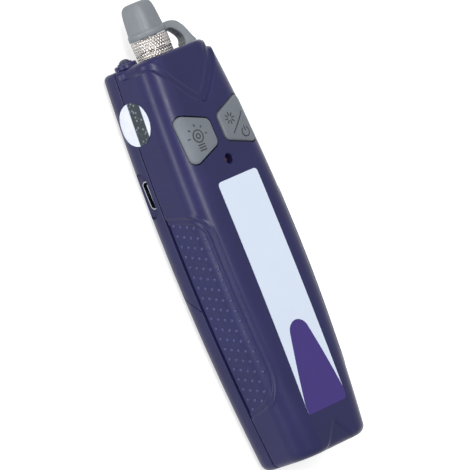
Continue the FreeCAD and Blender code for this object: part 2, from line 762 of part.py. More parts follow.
def cap_strap():
    """Rubber strap from the cap's flange over and down to a plug in the end wall."""
    crown = [V(7.2, 0, 8.95), V(10.45, 0, 7.6), V(11.8, 0, 4.4)]
    flare = [crown[-1], V(12.25, 0, 2.5), V(13.4, 0, 0.9)]
    heel = [V(9.4, 0, 0.9), V(9.75, 0, 2.3), V(9.4, 0, 3.8)]
    armpit = [heel[-1], V(8.0, 0, 5.75), V(5.4, 0, 6.8)]
    root = V(5.4, 0, 8.95)
    sides = [
        Part.makeLine(root, crown[0]), Part.Arc(*crown).toShape(), Part.Arc(*flare).toShape(),
        Part.makeLine(flare[-1], heel[0]), Part.Arc(*heel).toShape(), Part.Arc(*armpit).toShape(),
        Part.makeLine(armpit[-1], root),
    ]
    band = Part.Face(Part.Wire(sides)).extrude(V(0, STRAP_WIDTH, 0))
    band.translate(V(0, -STRAP_WIDTH / 2, 0))
    foot = box(9.2, 13.6, -3.0, 3.0, 0, 0.9)
    foot = foot.makeFillet(0.8, upright_edges(foot))
    peg = rod(3.0, (11.4, 0, -WALL), (11.4, 0, 0))
    barb = rod(3.8, (11.4, 0, -WALL - 1.2), (11.4, 0, -WALL))
    strap = fuse_all([band, foot, peg, barb])
    strap = strap.cut(rod(12.06, (0, 0, 0), (0, 0, 20)))
    strap.rotate(V(0, 0, 0), V(0, 0, 1), -STRAP_TURN)
    return one_solid(along_port(strap))


# ------------------------------------------------------------ labels and screws
def front_label():
    half = 9.05
    outline = [(-half, LABEL_LOW), (half, LABEL_LOW), (half, LABEL_HIGH), (-half, LABEL_HIGH)]
    sheet = rounded_prism(outline, 1.2, HOUSING_DEPTH - 4, HOUSING_DEPTH + 2)
    return one_solid(sheet.common(barrel(-0.2, 0)).cut(barrel(0, 0)))


def round_seal():
    """Round foil seal over the part line on the left flank."""
    y, z = TOP - 16.8, PORT_HEIGHT - 2.0
    disc = rod(SEAL_DIAMETER, (-HOUSING_WIDTH, y, z), (-5, y, z))
    return one_solid(disc.common(barrel(-0.15, 0)).cut(barrel(0, 0)))


def screw(x, y, seat, tip):
    """Pan-head screw driven towards the front."""
    head = rod(4.4, (x, y, seat - 1.6), (x, y, seat))
    shank = rod(2.3, (x, y, seat), (x, y, tip))
    return one_solid(head.fuse(shank))


def screws():
    made = {}
    for side, name in ((-1, "left"), (1, "right")):
        made["shell_screw_" + name] = screw(side * SCREW_X, SCREW_Y, 6.0, PART_LINE + 6)
        made["tray_screw_" + name] = screw(side * EAR_X, EAR_Y, PART_LINE + 0.4, PART_LINE + 8)
    return made


# ------------------------------------------------------------------------ output
def all_pieces():
    pieces = {
        "front_shell": front_shell(),
        "rear_shell": rear_shell(),
        "battery_door": battery_door(),
        "battery_tray": battery_tray(),
        "battery_cell": battery_cell(),
        "negative_contact": negative_contact(),
        "positive_contact": positive_contact(),
        "circuit_board": circuit_board(),
        "charging_socket": charging_socket(),
        "driver_chip": driver_chip(),
        "indicator_chip": indicator_chip(),
        "light_pipe": light_pipe(),
        "lamp_switch": switch_base(-1),
        "power_switch": switch_base(1),
        "lamp_plunger": switch_plunger(-1),
        "power_plunger": switch_plunger(1),
        "lamp_button": button(-1),
        "power_button": button(1),
        "port_body": port_body(),
        "split_sleeve": split_sleeve(),
        "lock_ring": lock_ring(),
        "knurled_collar": knurled_collar(),
        "laser_barrel": laser_barrel(),
        "focus_lens": focus_lens(),
        "laser_diode": laser_diode(),
        "torch_bezel": torch_bezel(),
        "torch_led": torch_led(),
        "torch_board": torch_board(),
        "dust_cap": dust_cap(),
        "cap_strap": cap_strap(),
        "front_label": front_label(),
        "round_seal": round_seal(),
    }
    pieces.update(screws())
    return pieces


os.makedirs("parts", exist_ok=True)
for name, shape in all_pieces().items():
    shape.exportStep("parts/" + name + ".step")
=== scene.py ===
# Looks of the handheld visual fault locator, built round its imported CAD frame.
#
# Shapes are worked out in millimetres in the CAD frame and handed to Blender in
# metres: +Z is the way the front looks, +Y runs towards the fibre port.

import math

import bmesh
import bpy
import numpy as np
from mathutils import Matrix, Vector


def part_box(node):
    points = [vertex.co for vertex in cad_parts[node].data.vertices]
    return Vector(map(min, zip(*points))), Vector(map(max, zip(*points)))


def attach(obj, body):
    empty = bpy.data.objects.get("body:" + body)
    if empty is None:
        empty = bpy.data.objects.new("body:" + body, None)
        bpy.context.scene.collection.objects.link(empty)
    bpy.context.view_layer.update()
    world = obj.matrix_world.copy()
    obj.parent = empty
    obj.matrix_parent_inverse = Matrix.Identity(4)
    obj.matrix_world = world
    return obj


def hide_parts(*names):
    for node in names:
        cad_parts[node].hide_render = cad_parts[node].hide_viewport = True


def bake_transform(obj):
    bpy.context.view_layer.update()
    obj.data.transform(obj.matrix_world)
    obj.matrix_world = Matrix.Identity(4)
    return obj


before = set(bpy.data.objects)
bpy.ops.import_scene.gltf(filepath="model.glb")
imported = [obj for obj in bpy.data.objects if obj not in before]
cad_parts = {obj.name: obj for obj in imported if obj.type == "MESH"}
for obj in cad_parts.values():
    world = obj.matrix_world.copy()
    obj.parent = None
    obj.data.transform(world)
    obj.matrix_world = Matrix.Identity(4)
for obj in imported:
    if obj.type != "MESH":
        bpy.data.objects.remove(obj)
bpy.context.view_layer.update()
MM = 0.001
UP = Vector((0, 0, 1))


# ---- the CAD frame
def reach(node):
    """Lowest and highest corner of a CAD node, in millimetres."""
    low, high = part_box(node)
    return np.array(low) / MM, np.array(high) / MM


def middle(node):
    low, high = reach(node)
    return (low + high) / 2


def radius_of(node):
    """Radius of a round CAD node that lies along +Y."""
    low, high = reach(node)
    return (high[0] - low[0]) / 2


SHELL_LOW, SHELL_HIGH = reach("front_shell")
DOOR_HIGH = reach("battery_door")[1]
LABEL_LOW, LABEL_HIGH = reach("front_label")
SEAL_LOW, SEAL_HIGH = reach("round_seal")
KEY_LOW, KEY_HIGH = reach("power_button")
PIPE_LOW = reach("light_pipe")[0]
SOCKET_LOW = reach("charging_socket")[0]
COLLAR_LOW, COLLAR_HIGH = reach("knurled_collar")
CAP_LOW, CAP_HIGH = reach("dust_cap")

TOP = SHELL_HIGH[1]
BOTTOM = SHELL_LOW[1]
HALF_LENGTH = (TOP - BOTTOM) / 2
HALF_WIDTH = SHELL_HIGH[0]
DEPTH = SHELL_HIGH[2]
PART_LINE = SHELL_LOW[2]
PORT_Z = middle("lock_ring")[2]
BUTTON_Y = middle("power_button")[1]
INDICATOR_Y = middle("light_pipe")[1]
SOCKET_Y, SOCKET_Z = middle("charging_socket")[1:]
SEAL_Y, SEAL_Z = middle("round_seal")[1:]
TORCH_X, _, TORCH_Z = middle("torch_bezel")
SCREW_X, SCREW_Y = middle("shell_screw_right")[:2]

# ---- looks' own sizes
FRONT_CORNER = 8.0
BACK_CORNER = 7.0
SIDE_DRAW = 3.6           # each side draws in by this much towards the ends
BOTTOM_BOW = 1.6          # the front falls by this much towards the bottom
TOP_BOW = 1.0             # and by this much towards the port
TOP_ROUND = 1.5           # rounding of the port end's rim
BOTTOM_ROUND = 2.6
WALL = 2.2
SEAM = 0.2                # half of the open part line
SEAM_SOFT = 0.35          # how far up the skin the part line's rounding reaches
SEAM_ROUND = 0.22         # and how deep it goes
DOOR_GAP = 0.4            # open joint along the door's arched edge
BROW_DEPTH = 1.2          # lowered lip and V at the port end
BROW_LINE = 0.2           # second, shallower step inside the V
FOOT_DEPTH = 0.4          # arrowhead at the bottom
GRIP_LOW, GRIP_HIGH = BOTTOM + 17.4, TOP - 47.1
GRIP_STEP = 0.32          # the grip's border drops this much, and again further in
GRIP_BORDER = 1.7         # between the two steps
GRIP_DEPTH = 2 * GRIP_STEP
GRIP_LIP = 0.15           # low bead round the grip's border
KEY_CORNER = 2.4
KEY_PROUD = 0.7           # keys stand this much above the skin
KEY_CROWN = 0.2
PORT_BORE = 3.98          # lock ring and collar over the port's body
PORT_DROP = 0.45          # collar and cap seat this much lower than their solids


def half_width(y):
    return HALF_WIDTH - SIDE_DRAW * (y / HALF_LENGTH) ** 2


def front_height(y):
    bow = np.where(np.asarray(y) > 0, TOP_BOW, BOTTOM_BOW)
    return DEPTH - bow * (y / HALF_LENGTH) ** 2


def flat_half(y):
    return half_width(y) - FRONT_CORNER


def seam_reach(y):
    """Distance along the skin from the front's centre line to the part line."""
    wall = front_height(y) - FRONT_CORNER - PART_LINE
    return flat_half(y) + math.pi / 2 * FRONT_CORNER + wall


def back_reach(y):
    """Distance along the skin from the front's centre line to the back's."""
    wall = front_height(y) - FRONT_CORNER - BACK_CORNER
    corners = math.pi / 2 * (FRONT_CORNER + BACK_CORNER)
    return flat_half(y) + corners + wall + half_width(y) - BACK_CORNER


def skin(y, s):
    """Point and outward normal in the cross-section at y, s along the skin from the
    front's centre line, positive towards +X. Returns x, z, nx, nz."""
    y, s = np.broadcast_arrays(np.asarray(y, float), np.asarray(s, float))
    side, r = np.sign(s), np.abs(s)
    wide, high = half_width(y), front_height(y)
    flat = wide - FRONT_CORNER
    bend, back_bend = math.pi / 2 * FRONT_CORNER, math.pi / 2 * BACK_CORNER
    wall = high - FRONT_CORNER - BACK_CORNER
    a = np.clip((r - flat) / FRONT_CORNER, 0, math.pi / 2)
    down = np.clip(r - flat - bend, 0, wall)
    b = np.clip((r - flat - bend - wall) / BACK_CORNER, 0, math.pi / 2)
    back = np.maximum(r - flat - bend - wall - back_bend, 0)
    x = np.minimum(r, flat) + FRONT_CORNER * np.sin(a)
    x = x - BACK_CORNER * (1 - np.cos(b)) - back
    z = high - FRONT_CORNER * (1 - np.cos(a)) - down - BACK_CORNER * np.sin(b)
    nx = np.where(b > 0, np.cos(b), np.sin(a))
    nz = np.where(b > 0, -np.sin(b), np.cos(a))
    return side * x, z, side * nx, nz


def on_skin(y, s, lift=0.0):
    x, z, nx, nz = skin(y, s)
    y = np.broadcast_to(np.asarray(y, float), x.shape)
    return np.stack([x + nx * lift, y, z + nz * lift], axis=-1)


# ---- small tools
def smooth(t):
    t = np.clip(t, 0, 1)
    return t * t * (3 - 2 * t)


def step_in(distance, slope):
    """0 outside an edge and 1 inside it, over a slope this wide."""
    return smooth((slope / 2 - distance) / slope)


def circle(count):
    """Angles once round, without the last."""
    return [2 * math.pi * i / count for i in range(count)]


def quarter(count):
    """Cosine and sine from 0 to a quarter turn."""
    angles = [math.pi / 2 * i / count for i in range(count + 1)]
    return [(math.cos(a), math.sin(a)) for a in angles]


def outline_distance(x, y, outline):
    """Signed distance from points to a closed outline, negative inside."""
    best = np.full(np.shape(x), 1e9)
    inside = np.zeros(np.shape(x), bool)
    for (ax, ay), (bx, by) in zip(outline, outline[1:] + outline[:1]):
        dx, dy = bx - ax, by - ay
        t = np.clip(((x - ax) * dx + (y - ay) * dy) / (dx * dx + dy * dy), 0, 1)
        best = np.minimum(best, np.hypot(x - ax - t * dx, y - ay - t * dy))
        crosses = (ay > y) != (by > y)
        if abs(dy) > 1e-9:
            inside ^= crosses & (x < ax + (y - ay) / dy * dx)
    return np.where(inside, -best, best)


def new_object(name, data):
    item = bpy.data.objects.new(name, data)
    bpy.context.scene.collection.objects.link(item)
    return item


def add_mesh(name, points, faces, material, body="housing", sharp=40):
    """A piece from points in millimetres, merged, closed and shaded smooth."""
    mesh = bpy.data.meshes.new(name)
    mesh.from_pydata((np.asarray(points, float) * MM).tolist(), [], faces)
    bm = bmesh.new()
    bm.from_mesh(mesh)
    bmesh.ops.remove_doubles(bm, verts=bm.verts, dist=2e-6)
    bmesh.ops.dissolve_degenerate(bm, edges=bm.edges, dist=1e-7)
    bmesh.ops.recalc_face_normals(bm, faces=bm.faces)
    bm.to_mesh(mesh)
    bm.free()
    piece = new_object(name, mesh)
    mesh.materials.append(material)
    mesh.shade_smooth()
    mesh.set_sharp_from_angle(angle=math.radians(sharp))
    if body:
        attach(piece, body)
    return piece


def sweep_faces(rows, count):
    """Quads between successive rings of count points each."""
    faces = []
    for a in range(0, (rows - 1) * count, count):
        b = a + count
        for j in range(count):
            k = (j + 1) % count
            faces.append((a + j, a + k, b + k, b + j))
    return faces


def closed_sweep(rows, count):
    """The same with both ends closed."""
    last = (rows - 1) * count
    ends = [tuple(range(count)), tuple(range(last + count - 1, last - 1, -1))]
    return sweep_faces(rows, count) + ends


def sweep(name, rings, material, body="housing", sharp=40, capped=True):
    """A closed piece through rings of equal length."""
    rings = [np.asarray(ring, float) for ring in rings]
    make_faces = closed_sweep if capped else sweep_faces
    faces = make_faces(len(rings), len(rings[0]))
    return add_mesh(name, np.concatenate(rings), faces, material, body, sharp)


def lathe(name, profile, centre, material, body="housing", count=96, sharp=35,
          upright=False):
    """Turn a closed (radius, along) profile, or one that a function gives for each
    angle, about a line through centre along +Y, or along +Z if it is upright."""
    rings = []
    for a in circle(count):
        section = profile(a) if callable(profile) else profile
        places = [
            (r * math.cos(a), r * math.sin(a), h) if upright
            else (r * math.cos(a), h, r * math.sin(a)) for r, h in section
        ]
        rings.append(np.array(places) + centre)
    rings.append(rings[0])
    return sweep(name, rings, material, body, sharp, capped=False)


def rounded(outline, radius, per_corner=8):
    """Round the corners of an anticlockwise convex outline."""
    result = []
    count = len(outline)
    for i in range(count):
        p = Vector(outline[i])
        back = (Vector(outline[i - 1]) - p).normalized()
        on = (Vector(outline[(i + 1) % count]) - p).normalized()
        half = back.angle(on) / 2
        centre = p + (back + on).normalized() * radius / math.sin(half)
        start = p + back * radius / math.tan(half) - centre
        turn = math.pi - 2 * half
        for k in range(per_corner + 1):
            a = turn * k / per_corner
            spoke = Matrix.Rotation(a, 2) @ start
            result.append((centre.x + spoke.x, centre.y + spoke.y))
    return result


def grown(outline, amount):
    """Move every side of an anticlockwise convex outline outwards."""
    lines = []
    for (ax, ay), (bx, by) in zip(outline, outline[1:] + outline[:1]):
        size = math.hypot(bx - ax, by - ay)
        nx, ny = (by - ay) / size, (ax - bx) / size
        lines.append((nx, ny, nx * ax + ny * ay + amount))
    result = []
    for i in range(len(lines)):
        a1, b1, c1 = lines[i - 1]
        a2, b2, c2 = lines[i]
        det = a1 * b2 - a2 * b1
        result.append(((c1 * b2 - c2 * b1) / det, (a1 * c2 - a2 * c1) / det))
    return result


def mirrored(outline):
    return [(-x, y) for x, y in reversed(outline)]


def oblong(x, y, half_x, half_y):
    return [(x - half_x, y - half_y), (x + half_x, y - half_y),
            (x + half_x, y + half_y), (x - half_x, y + half_y)]


def cut(piece, cutters):
    """Cut closed pieces out of a piece and drop them."""
    for cutter in cutters:
        step = piece.modifiers.new("cut", "BOOLEAN")
        step.operation = "DIFFERENCE"
        step.solver = "MANIFOLD"
        step.object = cutter
    bpy.context.view_layer.update()
    graph = bpy.context.evaluated_depsgraph_get()
    result = bpy.data.meshes.new_from_object(piece.evaluated_get(graph))
    bm = bmesh.new()
    bm.from_mesh(result)
    bmesh.ops.remove_doubles(bm, verts=bm.verts, dist=4e-6)
    bmesh.ops.dissolve_degenerate(bm, edges=bm.edges, dist=2e-6)
    bm.to_mesh(result)
    bm.free()
    piece.modifiers.clear()
    piece.data = result
    for cutter in cutters:
        bpy.data.objects.remove(cutter)
    result.shade_smooth()
    result.set_sharp_from_angle(angle=math.radians(40))


def plug(outline, z0, z1):
    """Upright cutter with a plan outline."""
    rings = [[(x, y, z) for x, y in outline] for z in (z0, z1)]
    return sweep("cutter", rings, HOUSING, None)


def bar(diameter, start, end, flare=1.0, count=48):
    """Round cutter between two points, its end wider by flare."""
    axis = Vector(end) - Vector(start)
    turn = axis.to_track_quat("Z", "Y").to_matrix()
    rings = []
    for h, r in ((0, diameter / 2), (axis.length, diameter / 2 * flare)):
        rings.append([
            tuple(Vector(start) + turn @ Vector((r * math.cos(a), r * math.sin(a), h)))
            for a in circle(count)
        ])
    return sweep("cutter", rings, HOUSING, None)


def flank_plug(outline, x0, x1):
    """Cutter along X with an outline in Y and Z."""
    rings = [[(x, y, z) for y, z in outline] for x in (x0, x1)]
    return sweep("cutter", rings, HOUSING, None)


# ---- materials
def add_node(tree, kind, inputs, **settings):
    """A shader node; each input is another node's output or a plain value."""
    node = tree.nodes.new(kind)
    for name, value in settings.items():
        setattr(node, name, value)
    for name, value in inputs.items():
        if isinstance(value, bpy.types.NodeSocket):
            tree.links.new(value, node.inputs[name])
        else:
            node.inputs[name].default_value = value
    return node


class Nodes:
    """Short hand for building one material's node tree."""

    def __init__(self, name):
        self.material = bpy.data.materials.new(name)
        self.material.use_nodes = True
        self.tree = self.material.node_tree
        self.shader = self.tree.nodes["Principled BSDF"]
        self.place = self.add("ShaderNodeTexCoord", {}).outputs["Object"]

    def add(self, kind, inputs, **settings):
        return add_node(self.tree, kind, inputs, **settings)

    def along(self, axis):
        """The point's own coordinate, in metres."""
        return self.add("ShaderNodeSeparateXYZ", {"Vector": self.place}).outputs[axis]

    def noise(self, scale, detail=3.0, roughness=0.5):
        return self.add("ShaderNodeTexNoise", {
            "Vector": self.place, "Scale": scale, "Detail": detail, "Roughness": roughness,
        }).outputs["Fac"]

    def cells(self, scale, feature="F1"):
        return self.add("ShaderNodeTexVoronoi", {"Vector": self.place, "Scale": scale},
                        feature=feature).outputs["Distance"]

    def ramp(self, fac, low, high, start=0.3, end=0.7):
        node = self.add("ShaderNodeValToRGB", {"Fac": fac})
        stops = node.color_ramp.elements
        stops[0].position, stops[0].color = start, low
        stops[1].position, stops[1].color = end, high
        return node.outputs["Color"]

    def spread(self, fac, low, high, start=0.3, end=0.7):
        return self.add("ShaderNodeMapRange", {
            "Value": fac, "From Min": start, "From Max": end, "To Min": low, "To Max": high,
        }).outputs["Result"]

    def bump(self, fac, depth):
        """Relief this many millimetres deep."""
        node = self.add("ShaderNodeBump",
                        {"Height": fac, "Strength": 1.0, "Distance": depth * MM})
        self.feed(node.outputs["Normal"], "Normal")

    def feed(self, socket, name):
        self.tree.links.new(socket, self.shader.inputs[name])

    def set(self, **values):
        for name, value in values.items():
            self.shader.inputs[name.replace("_", " ")].default_value = value


def linear(r, g, b):
    """A display colour, 0 to 255 a channel, as Blender's linear RGBA."""
    def one(c):
        c /= 255
        return c / 12.92 if c <= 0.04045 else ((c + 0.055) / 1.055) ** 2.4
    return (one(r), one(g), one(b), 1.0)


def shaded(colour, share):
    return tuple(c * share for c in colour[:3]) + (1.0,)


def moulded(name, colour, rough=(0.35, 0.45), grain=2500, depth=0.01, drift=0.08,
            **more):
    """Moulded plastic or rubber: fine grain, slow drift of colour and gloss."""
    n = Nodes(name)
    low, high = shaded(colour, 1 - drift), shaded(colour, 1 + drift)
    n.feed(n.ramp(n.noise(90, 4), low, high), "Base Color")
    n.feed(n.spread(n.noise(260, 5, 0.6), *rough), "Roughness")
    n.bump(n.noise(grain, 2), depth)
    n.set(**more)
    return n.material


def metal(name, colour, rough=(0.2, 0.35), scale=900, depth=0.004, drift=0.06):
    """Turned or drawn metal with fine wear in its gloss."""
    n = Nodes(name)
    n.feed(n.ramp(n.noise(300, 4), shaded(colour, 1 - drift), colour), "Base Color")
    n.feed(n.spread(n.noise(scale, 5, 0.65), *rough), "Roughness")
    n.bump(n.noise(scale * 2, 2), depth)
    n.set(Metallic=1.0)
    return n.material


HOUSING = moulded("housing", linear(36, 36, 81), (0.27, 0.34), 3200, 0.01,
                  Specular_IOR_Level=0.23)
REAR = moulded("rear_housing", linear(40, 40, 80), (0.34, 0.42), 3200, 0.012,
               Specular_IOR_Level=0.22)
GRIP = moulded("grip_grain", linear(35, 36, 82), (0.28, 0.44), 1900, 0.03,
               Specular_IOR_Level=0.24)
# The grip's dots are the housing's plastic, painted lighter here: a painted highlight for the
# light that catches their tops.
DOTS_PAINTED_HIGHLIGHT = moulded("grip_dots", linear(54, 53, 106), (0.26, 0.34), 3200, 0.01,
               Specular_IOR_Level=0.4)
RUBBER = moulded("key_rubber", linear(108, 114, 122), (0.5, 0.6), 4200, 0.01)
ICON = moulded("key_icons", linear(30, 33, 44), (0.5, 0.6), 4000, 0.006)
CAP_RUBBER = moulded("cap_rubber", linear(122, 128, 134), (0.42, 0.52), 3800, 0.012)
LABEL = moulded("label_film", linear(216, 227, 244), (0.3, 0.36), 1200, 0.002, 0.012)
ARCH = moulded("label_ink", linear(62, 46, 120), (0.3, 0.36), 1200, 0.002, 0.05,
               Specular_IOR_Level=0.25)
INNER = moulded("inner_plastic", linear(42, 42, 48), (0.45, 0.55), 2600, 0.012)
PLUNGER = moulded("plunger", linear(200, 198, 190), (0.4, 0.5), 2600, 0.01)
NICKEL = metal("nickel", linear(176, 170, 164), (0.26, 0.36))
KNURL = metal("knurled_nickel", linear(178, 174, 171), (0.2, 0.26), 400, 0.001)
STEEL = metal("bright_steel", linear(180, 184, 190), (0.18, 0.3))
BRASS = metal("barrel_brass", linear(200, 165, 100), (0.25, 0.38))
SCREW = metal("screw_steel", linear(120, 122, 126), (0.3, 0.42))
CERAMIC = moulded("ceramic", linear(236, 234, 226), (0.2, 0.28), 900, 0.002, 0.01)
CHIP = moulded("chip_resin", linear(30, 30, 33), (0.5, 0.6), 3000, 0.01)
LED = moulded("led_dome", linear(52, 50, 78), (0.12, 0.3), 700, 0.05, 0.5)
PIPE = moulded("light_pipe", linear(58, 24, 22), (0.2, 0.3), 900, 0.01, 0.2)


def board_material():
    """Green solder mask with copper tracks showing through."""
    n = Nodes("board_mask")
    tracks = n.cells(420, "DISTANCE_TO_EDGE")
    n.feed(n.ramp(tracks, linear(60, 128, 74), linear(24, 84, 48), 0.04, 0.1), "Base Color")
    n.feed(n.spread(n.noise(500), 0.3, 0.45), "Roughness")
    n.bump(tracks, 0.02)
    return n.material


def cell_material():
    """Printed sleeve of the cell: grey with a coloured end."""
    n = Nodes("cell_sleeve")
    edge = DOOR_HIGH[1] - 20
    band = n.spread(n.along("Y"), 0.0, 1.0, edge * MM, (edge + 0.2) * MM)
    n.feed(n.ramp(band, linear(70, 120, 80), linear(190, 192, 196), 0.4, 0.6), "Base Color")
    n.feed(n.spread(n.noise(400), 0.28, 0.4), "Roughness")
    n.bump(n.noise(1500), 0.004)
    return n.material


def foil_material():
    """Bright seal with one darker, speckled band along it."""
    n = Nodes("seal_foil")
    middle_z, half, blur = SEAL_Z + 2.0, 2.6, 0.15
    off = n.add("ShaderNodeMath", {0: n.along("Z"), 1: middle_z * MM}, operation="SUBTRACT")
    off = n.add("ShaderNodeMath", {0: off.outputs[0]}, operation="ABSOLUTE")
    beyond = n.spread(off.outputs[0], 0.0, 1.0, (half - blur) * MM, (half + blur) * MM)
    specks = n.cells(900)
    dark = n.ramp(specks, linear(128, 142, 150), linear(36, 47, 56), 0.16, 0.4)
    pale = n.ramp(n.noise(160), linear(208, 216, 234), linear(232, 236, 246))
    mix = n.add("ShaderNodeMix", {"Factor": beyond, "A": dark, "B": pale}, data_type="RGBA")
    n.feed(mix.outputs["Result"], "Base Color")
    n.feed(n.spread(n.noise(700), 0.28, 0.42), "Roughness")
    n.bump(specks, 0.01)
    n.set(Metallic=0.25)
    return n.material


# ---- housing's skin
def button_outline():
    """Opening of the right-hand button; the left one mirrors it."""
    edge = KEY_HIGH[0] - 0.7
    return [
        (1.4, BUTTON_Y - 4.5), (edge, BUTTON_Y - 9.0),
        (edge, BUTTON_Y + 9.0), (1.4, BUTTON_Y + 4.2),
    ]


def brow_outline():
    """Plan outline of the lowered lip and its V."""
    arm = [(0.9, 18.0), (4.75, 14.6), (9.0, 9.6), (11.3, 6.3), (13.0, 3.9), (14.2, 3.1),
           (HALF_WIDTH + 5, 3.1), (HALF_WIDTH + 5, -5)]
    right = [(x, TOP - below) for x, below in arm]
    return right + mirrored(right)


def foot_outline():
    """Plan outline of the arrowhead."""
    half = 6.4
    right = [(half, BOTTOM - 5), (half, BOTTOM), (0.5, BOTTOM + 7.4)]
    return right + mirrored(right)


def grip_outline():
    """Grip's border as (y, distance above the part line)."""
    low = [(0, -6), (0, 0.5), (0.5, 3.8), (1.3, 7.5), (2.3, 10.2), (3.7, 12.0), (5.8, 13.4),
           (7.9, 14.4), (10.4, 15.0), (13.4, 15.3)]
    high = [(9.6, 15.4), (7.2, 15.2), (5.6, 14.5), (4.2, 13.4), (3.1, 12.1), (2.2, 10.6),
            (1.3, 7.5), (0.3, 2.2), (0, 0.5), (0, -6)]
    return ([(GRIP_LOW + along, above) for along, above in low]
            + [(GRIP_HIGH - along, above) for along, above in high])


def front_relief(y, s):
    """How far the front moulding's surface lies below the plain skin."""
    x = skin(y, s)[0]
    above = seam_reach(y) - np.abs(s)
    brow = outline_distance(x, y, brow_outline())
    depth = BROW_DEPTH * step_in(brow, 0.8) + BROW_LINE * step_in(brow + 2.55, 0.5)
    depth = depth * smooth((above - 0.6) / 3)
    foot = outline_distance(x, y, foot_outline())
    depth = np.maximum(depth, FOOT_DEPTH * step_in(foot + 0.15, 0.9))
    grip = outline_distance(y, above, grip_outline())
    steps = step_in(grip, 0.6) + step_in(grip + GRIP_BORDER, 0.6)
    depth = np.maximum(depth, GRIP_STEP * steps)
    bead = GRIP_LIP * np.exp(-((grip - 0.8) / 0.35) ** 2)
    return depth - bead * (above > 0.5) + seam_round(above)


def seam_round(above):
    """Rounding of a moulding's edge, above being the distance from the part line."""
    return SEAM_ROUND * np.clip(1 - above / SEAM_SOFT, 0, 1) ** 2


def stations(marks):
    """Rows from mark to mark: (start, spacing) pairs, then the end."""
    rows = []
    for (start, spacing), (end, _) in zip(marks, marks[1:]):
        count = max(1, round((end - start) / spacing))
        rows += [start + (end - start) * i / count for i in range(count)]
    return rows + [marks[-1][0]]


def end_rows(end, rounding, sign):
    """(y, inset) pairs that round an end's rim, from the body outwards."""
    return [(end - sign * rounding * (1 - s), rounding * (1 - c)) for c, s in quarter(7)[1:]]


END_SHRINK = (0.86, 0.6, 0.3, 0.0)
FRONT_COLUMNS = np.linspace(-1, 1, 261)
INNER_COLUMNS = np.linspace(-1, 1, 41)
REAR_COLUMNS = np.linspace(-1, 1, 103)


def end_wall(ring, z):
    """Rings drawn in from this one towards the end wall's middle at height z."""
    centre = ring.copy()
    centre[:, 0] = 0.0
    centre[:, 2] = z
    return [centre + (ring - centre) * share for share in END_SHRINK]


def inner_station(y):
    """The inside ends one wall short of the outside."""
    return y * (HALF_LENGTH - WALL) / HALF_LENGTH


def front_ring(y, inset=0.0):
    """Section of the front's wall, the outside one way and the inside back."""
    s = FRONT_COLUMNS * seam_reach(y)
    outside = on_skin(y, s, -(front_relief(np.full(s.shape, y), s) + inset))
    y = float(inner_station(y))
    inside = on_skin(y, INNER_COLUMNS * seam_reach(y), -WALL)
    return np.concatenate([outside, inside[::-1]])


def front_end(end, rounding, sign):
    """Rings from the body over an end's rim to the middle of its end wall."""
    rings = [front_ring(y, inset) for y, inset in end_rows(end, rounding, sign)]
    return rings + end_wall(rings[-1], PART_LINE)


def front_shell():
    fine, middling = 0.28, 1.3
    rows = stations([
        (BOTTOM + BOTTOM_ROUND, 0.3), (BOTTOM + 9.5, 0.9), (GRIP_LOW - 1.2, fine),
        (GRIP_LOW + 12, middling), (GRIP_HIGH - 10, fine), (GRIP_HIGH + 1.2, middling),
        (TOP - 20.5, fine), (TOP - TOP_ROUND, 0),
    ])
    rings = front_end(BOTTOM, BOTTOM_ROUND, -1)[::-1]
    rings += [front_ring(y) for y in rows] + front_end(TOP, TOP_ROUND, 1)
    shell = sweep("front_moulding", rings, HOUSING, capped=False)
    right = button_outline()
    openings = [
        plug(rounded(outline, KEY_CORNER), DEPTH - 9, DEPTH + 3)
        for outline in (right, mirrored(right))
    ]
    hole = Vector((0, INDICATOR_Y, DEPTH))
    openings.append(bar(3.0, hole - UP * 6, hole + UP * 3))
    openings.append(bar(2.6, hole - UP * 0.8, hole + UP * 0.25, 1.75))
    cut(shell, openings + end_cutters())
    grain_grips(shell)
    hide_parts("front_shell")


def grain_grips(shell):
    """Give the faces inside both grips their rougher grain."""
    mesh = shell.data
    mesh.materials.append(GRIP)
    centres = np.array([face.center[:] for face in mesh.polygons]) / MM
    x, y, z = np.abs(centres[:, 0]), centres[:, 1], centres[:, 2]
    flat, spring = flat_half(y), front_height(y) - FRONT_CORNER
    turn = np.arctan2(x - flat, np.maximum(z - spring, 0))
    s = flat + FRONT_CORNER * turn + np.maximum(spring - z, 0)
    inside = outline_distance(y, seam_reach(y) - s, grip_outline()) < -GRIP_BORDER
    inside &= np.hypot(x, z - PART_LINE) > 9
    for face in np.flatnonzero(inside & (x > flat)):
        mesh.polygons[int(face)].material_index = 1


def end_cutters():
    """Holes that both mouldings share in the port end: port and torch."""
    y0, y1 = TOP - WALL - 1, TOP + 1
    return [
        bar(8.0, (0, y0, PORT_Z), (0, y1, PORT_Z)),
        bar(5.1, (TORCH_X, y0, TORCH_Z), (TORCH_X, y1, TORCH_Z)),
    ]


# ---- rear moulding and door
ARCH_Y = DOOR_HIGH[1] + DOOR_GAP / 2
RIB_COUNT, RIB_PITCH, RIB_HEIGHT = 5, 2.4, 0.5


def rear_skin(y, q, lift):
    """Skin point q from the back's middle line (0) to the part lines (-1 and 1)."""
    total = back_reach(y)
    seam = seam_reach(y) + 2 * SEAM
    s = np.where(q < 0, -1, 1) * (total - np.abs(q) * (total - seam))
    return on_skin(y, s, lift)


def arch_station(q, shift):
    """Station of the door's arched edge for each column of the back."""
    y = np.full(q.shape, ARCH_Y + shift)
    for _ in range(4):
        below = (1 - np.abs(q)) * (back_reach(y) - seam_reach(y) - 2 * SEAM)
        y = ARCH_Y + shift - 0.7 * q ** 2 - 9.5 * np.maximum(1 - below / 13, 0) ** 1.6
    return y


